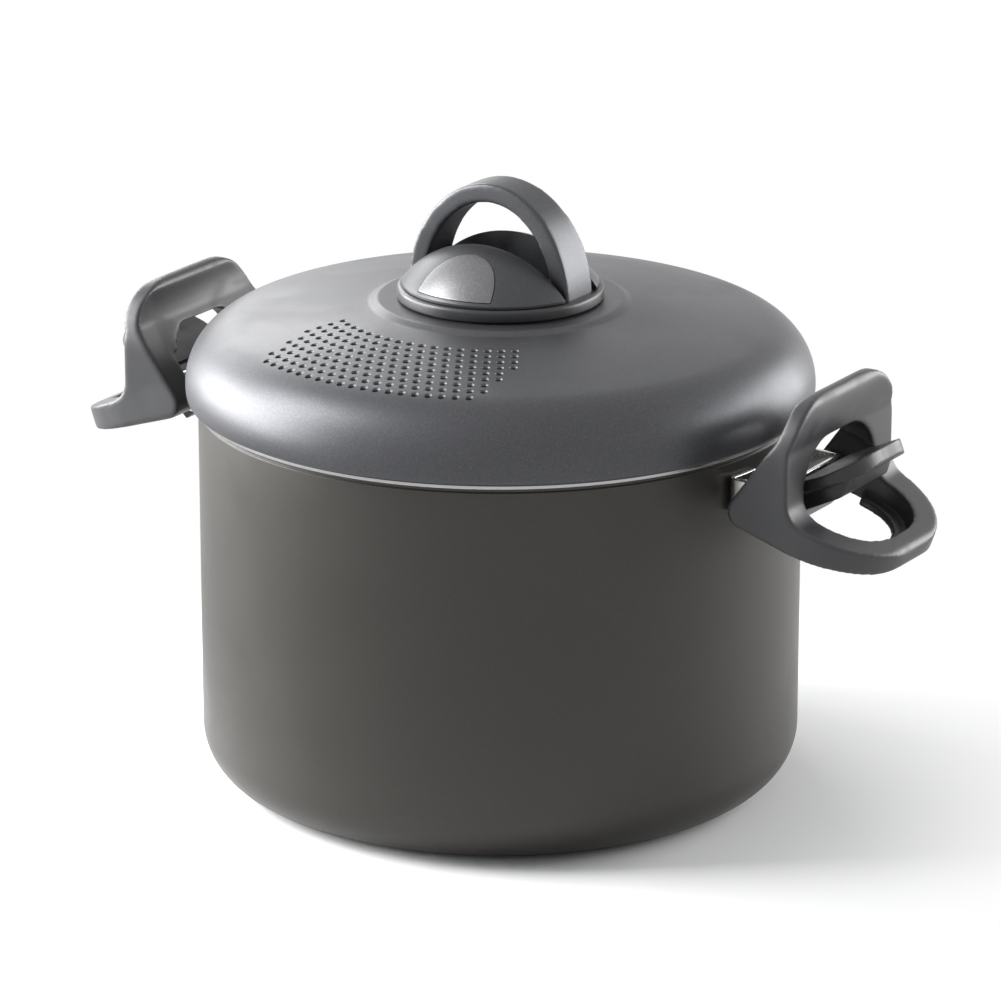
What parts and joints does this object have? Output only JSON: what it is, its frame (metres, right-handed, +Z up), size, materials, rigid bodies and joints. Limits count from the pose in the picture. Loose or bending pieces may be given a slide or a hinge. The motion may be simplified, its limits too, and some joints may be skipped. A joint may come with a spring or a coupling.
{
  "type": "colander pot",
  "caption": "Deep round cooking pot with a domed strainer lid, an arched knob, and side handles whose tilting frames swing over the lid's shoulder to lock it.",
  "frame": {"origin": "centre of the pot's flat base, on the surface it stands on", "axes": "+Z up along the pot's axis, X through the two handles, the drain holes towards -Y"},
  "size_m": [0.3744, 0.2498, 0.2441],
  "materials": {
    "pot_coating": "aluminium with a satin dark coating, rim bare",
    "lid_coating": "aluminium with a graphite coating with a fine sparkle",
    "knob_plastic": "dark graphite plastic, satin",
    "inlay_plastic": "silvery grey plastic, satin gloss",
    "steel": "polished stainless steel",
    "rivet_aluminium": "bare aluminium",
    "handle_plastic": "matt black plastic"
  },
  "bodies": {
    "pot": {"pot_body": "pot_coating", "right_bracket": "steel", "right_rivet_front": "rivet_aluminium", "right_rivet_rear": "rivet_aluminium", "right_pin_front": "steel", "right_pin_rear": "steel", "right_thumb_leaf": "handle_plastic", "left_bracket": "steel", "left_rivet_front": "rivet_aluminium", "left_rivet_rear": "rivet_aluminium", "left_pin_front": "steel", "left_pin_rear": "steel", "left_thumb_leaf": "handle_plastic"},
    "lid": {"lid": "lid_coating", "knob_base": "knob_plastic", "knob_front_dome": "knob_plastic", "knob_rear_dome": "knob_plastic", "knob_front_inlay": "inlay_plastic", "knob_rear_inlay": "inlay_plastic", "knob_screw": "steel", "knob_washer": "steel"},
    "right_lock": {"right_locking_frame": "handle_plastic"},
    "left_lock": {"left_locking_frame": "handle_plastic"}
  },
  "joints": [
    {"name": "lid_lift", "type": "slide", "parent": "pot", "child": "lid", "axis": [0, 0, 1], "range_m": [0, 0.1]},
    {"name": "right_lock_turn", "type": "hinge", "parent": "pot", "child": "right_lock", "pos_m": [0.134, 0, 0.1415], "axis": [0, -1, 0], "range_deg": [0, 42]},
    {"name": "left_lock_turn", "type": "hinge", "parent": "pot", "child": "left_lock", "pos_m": [-0.134, 0, 0.1415], "axis": [0, 1, 0], "range_deg": [0, 42]}
  ]
}
